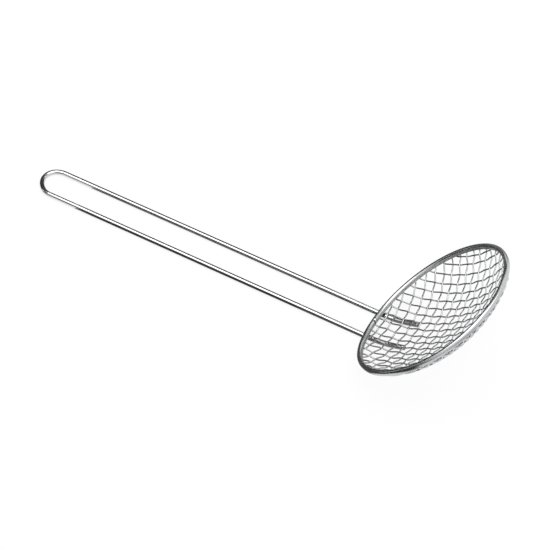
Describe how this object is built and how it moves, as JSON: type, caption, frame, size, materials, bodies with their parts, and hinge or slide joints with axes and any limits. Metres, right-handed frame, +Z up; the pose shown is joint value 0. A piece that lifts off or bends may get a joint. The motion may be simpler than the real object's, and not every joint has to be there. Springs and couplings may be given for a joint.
{
  "type": "mesh skimmer",
  "caption": "Long-handled kitchen skimmer: a shallow woven wire mesh bowl clamped in a folded steel rim, on a doubled wire handle with a hanging loop.",
  "frame": {"origin": "under the middle of the part's box, on the plane that the two legs of the handle rest on", "axes": "+Z up from the resting plane, +X along the handle from its loop to the bowl, +Y across the two legs"},
  "size_m": [0.4676, 0.16, 0.1205],
  "materials": {
    "handle_steel": "polished stainless steel wire",
    "rim_steel": "polished stainless steel strip, folded",
    "mesh_steel": "bright drawn stainless steel wire, crimped"
  },
  "bodies": {
    "root": {"handle_wire": "handle_steel", "rim_band": "rim_steel", "warp_left_1": "mesh_steel", "warp_left_2": "mesh_steel", "warp_left_3": "mesh_steel", "warp_left_4": "mesh_steel", "warp_left_5": "mesh_steel", "warp_left_6": "mesh_steel", "warp_left_7": "mesh_steel", "warp_left_8": "mesh_steel", "warp_left_9": "mesh_steel", "warp_right_1": "mesh_steel", "warp_right_2": "mesh_steel", "warp_right_3": "mesh_steel", "warp_right_4": "mesh_steel", "warp_right_5": "mesh_steel", "warp_right_6": "mesh_steel", "warp_right_7": "mesh_steel", "warp_right_8": "mesh_steel", "warp_right_9": "mesh_steel", "weft_near_1": "mesh_steel", "weft_near_2": "mesh_steel", "weft_near_3": "mesh_steel", "weft_near_4": "mesh_steel", "weft_near_5": "mesh_steel", "weft_near_6": "mesh_steel", "weft_near_7": "mesh_steel", "weft_near_8": "mesh_steel", "weft_near_9": "mesh_steel", "weft_far_1": "mesh_steel", "weft_far_2": "mesh_steel", "weft_far_3": "mesh_steel", "weft_far_4": "mesh_steel", "weft_far_5": "mesh_steel", "weft_far_6": "mesh_steel", "weft_far_7": "mesh_steel", "weft_far_8": "mesh_steel", "weft_far_9": "mesh_steel"}
  },
  "joints": []
}
